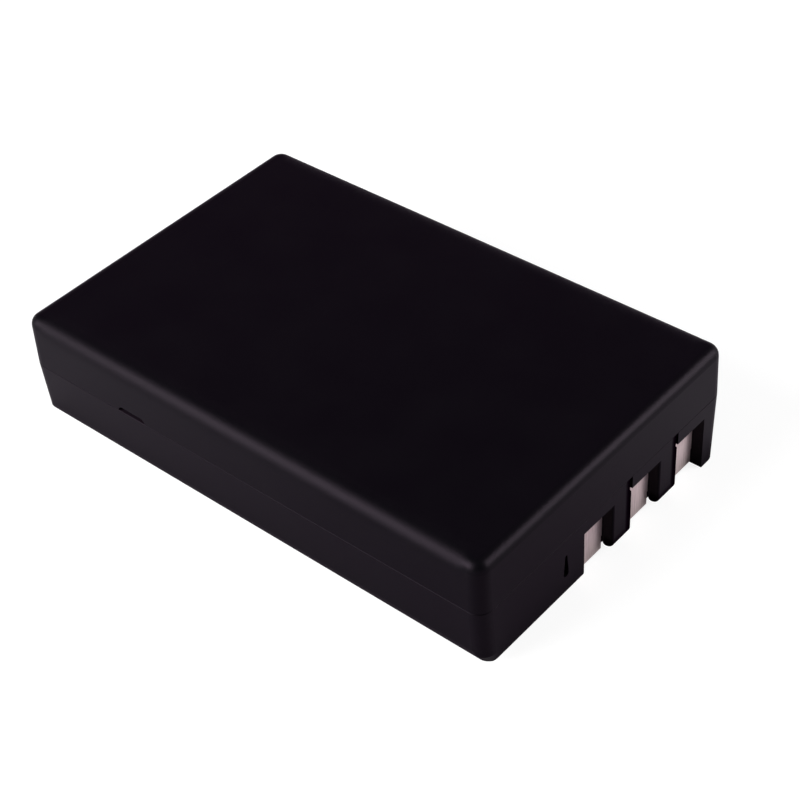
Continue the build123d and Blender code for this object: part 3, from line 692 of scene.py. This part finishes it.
def seen_rays(tree):
    """Rays from the camera as one socket, and rays in reflections and through glass as another."""
    path = put(tree, "LightPath").outputs
    mirrored = math_of(tree, "MAXIMUM", path["Is Glossy Ray"], path["Is Transmission Ray"])
    return path["Is Camera Ray"], mirrored


white, tree, shader = new_finish(
    "floor_white", Base_Color=FLOOR_COLOUR, Roughness=1.0, Specular_IOR_Level=0.0, Emission_Strength=1.0
)
direct, mirrored = seen_rays(tree)
near_corner = [reach("lower_case", X)[1], reach("lower_case", Y)[0], 0.0]
case_length, case_width = (length_of("lower_case", axis) for axis in (X, Y))
from_corner = place_mm(tree, centre=near_corner)
per_side = (1 / case_length, 1 / case_width, 0.0)
sides_off = put(tree, "VectorMath", {0: from_corner, 1: per_side}, operation="MULTIPLY").outputs[0]
squared = put(tree, "VectorMath", {0: sides_off, 1: sides_off}, operation="DOT_PRODUCT").outputs["Value"]
# Painted gradient of the glow that reflections see.
painted_glow = run_colour(tree, share_of(tree, squared, 0.0, GLOSS_REACH), GLOSS_NEAR, GLOSS_FAR)
from_middle = put(tree, "VectorMath", {0: place_mm(tree)}, operation="ABSOLUTE").outputs[0]
half_sides = (case_length / 2, case_width / 2, 1.0)
beyond = put(tree, "VectorMath", {0: from_middle, 1: half_sides}, operation="SUBTRACT").outputs[0]
outside = put(tree, "VectorMath", {0: beyond, 1: BLACK}, operation="MAXIMUM").outputs[0]
gap = put(tree, "VectorMath", {0: outside}, operation="LENGTH").outputs["Value"]
# Painted contact shadow: the reflected glow fades out close to the case.
outside_painted_shadow = run_value(tree, gap, 0.0, PAINTED_SHADOW_REACH, 0.0, 1.0, "SMOOTHSTEP")
reflected = run_colour(tree, math_of(tree, "MULTIPLY", mirrored, outside_painted_shadow), BLACK, painted_glow)
whitened = run_value(tree, gap, GLOW_START, GLOW_END, GLOW_NEAR, GLOW_FAR)
glow = run_colour(tree, direct, reflected, whitened)
tree.links.new(glow, shader.inputs["Emission Color"])
floor.data.materials.append(white)
print("floor glow", GLOW_NEAR, "near and", GLOW_FAR, "far away")

# %% [markdown]
# The room is a plain studio. For light on the object the world is an even grey, and for the camera it is white, so
# that the sheet runs on without an edge. Reflections see white near the floor and dark overhead, which is what keeps
# the wide top face of the battery black: that face mirrors the sky behind it.

# %% World
FILL_LEVEL = 0.10
OVERHEAD_LEVEL = 0.04
WHITE_UP_TO, DARK_FROM = 0.02, 0.22
world = bpy.data.worlds.new("studio")
world.use_nodes = True
tree = world.node_tree
fill = tree.nodes["Background"]
fill.inputs["Color"].default_value = (FILL_LEVEL, FILL_LEVEL, FILL_LEVEL, 1.0)
direction = put(tree, "SeparateXYZ", {0: put(tree, "TexCoord").outputs["Generated"]}).outputs
height = run_value(tree, direction[Z], WHITE_UP_TO, DARK_FROM, 1.0, OVERHEAD_LEVEL, "SMOOTHSTEP")
direct, mirrored = seen_rays(tree)
shown = put(tree, "Background", {"Color": math_of(tree, "MAXIMUM", height, direct)})
seen = math_of(tree, "MAXIMUM", direct, mirrored)
mixed = put(tree, "MixShader", {0: seen, 1: fill.outputs[0], 2: shown.outputs[0]})
tree.links.new(mixed.outputs[0], tree.nodes["World Output"].inputs["Surface"])
bpy.context.scene.world = world
print("fill light", FILL_LEVEL)

# %% [markdown]
# Two round soft boxes make the highlights on the rounded top edges. A rounded edge mirrors a whole fan of directions,
# so the lamp shows as a long soft line wherever the edge's normal lies half way between the camera and the lamp. The
# lamp for the long edge stands to the front left and the one for the short edge to the right. Energy is worked out
# from the brightness that the lamp's face should have, so a larger lamp stays as bright as it looks.

# %% Soft boxes


def soft_box(name, direction, distance, size, brightness):
    """Round lamp that faces the origin, with a brightness of its face where one is white."""
    lamp = bpy.data.lights.new(name, "AREA")
    lamp.shape = "DISK"
    lamp.size = size
    lamp.energy = brightness * math.pi * math.pi * size * size / 4
    holder = bpy.data.objects.new(name, lamp)
    bpy.context.scene.collection.objects.link(holder)
    spot = Vector(direction).normalized() * distance
    holder.matrix_world = Matrix.Translation(spot) @ spot.to_track_quat("Z", "Y").to_matrix().to_4x4()
    print(name, "gives", round(lamp.energy, 2), "watts")


soft_box("long_edge_light", direction=(-0.38, -0.72, 0.44), distance=0.35, size=0.29, brightness=11.4)
soft_box("short_edge_light", direction=(0.651, 0.554, 0.40), distance=0.35, size=0.23, brightness=8.5)

# %% [markdown]
# The camera stands where the photograph was taken from. Its place and its three axes were found by fitting the outline
# of the case, in millimetres, and the focal length in pixels of a picture 800 wide. Blender's camera looks along its
# own minus Z with Y up, so the three axes form its rotation directly.

# %% Camera
CAMERA_PLACE = (91.857, -94.216, 118.062)
CAMERA_RIGHT = (0.76115, 0.64617, -0.05583)
CAMERA_DOWN = (0.39223, -0.52716, -0.75383)
FOCAL_PIXELS = 1832.019
IMAGE_PIXELS = 800
SENSOR_WIDTH = 36.0
NEAREST, FURTHEST = 0.01, 10.0
camera = bpy.data.objects.new("photo_camera", bpy.data.cameras.new("photo_camera"))
bpy.context.scene.collection.objects.link(camera)
right = Vector(CAMERA_RIGHT).normalized()
up = -Vector(CAMERA_DOWN)
up = (up - right * up.dot(right)).normalized()
turn = Matrix((right, up, right.cross(up))).transposed().to_4x4()
camera.matrix_world = Matrix.Translation(Vector(CAMERA_PLACE) * MM) @ turn
camera.data.sensor_width = SENSOR_WIDTH
camera.data.lens = FOCAL_PIXELS * SENSOR_WIDTH / IMAGE_PIXELS
camera.data.clip_start = NEAREST
camera.data.clip_end = FURTHEST
bpy.context.scene.camera = camera
bpy.context.scene.view_settings.view_transform = "Standard"
print("lens", round(camera.data.lens, 1), "mm")

# %% [markdown]
# The last step only says that the scene is set up. Every finish here is a material and no piece was added to the
# battery.

# %% End
print("scene set up")
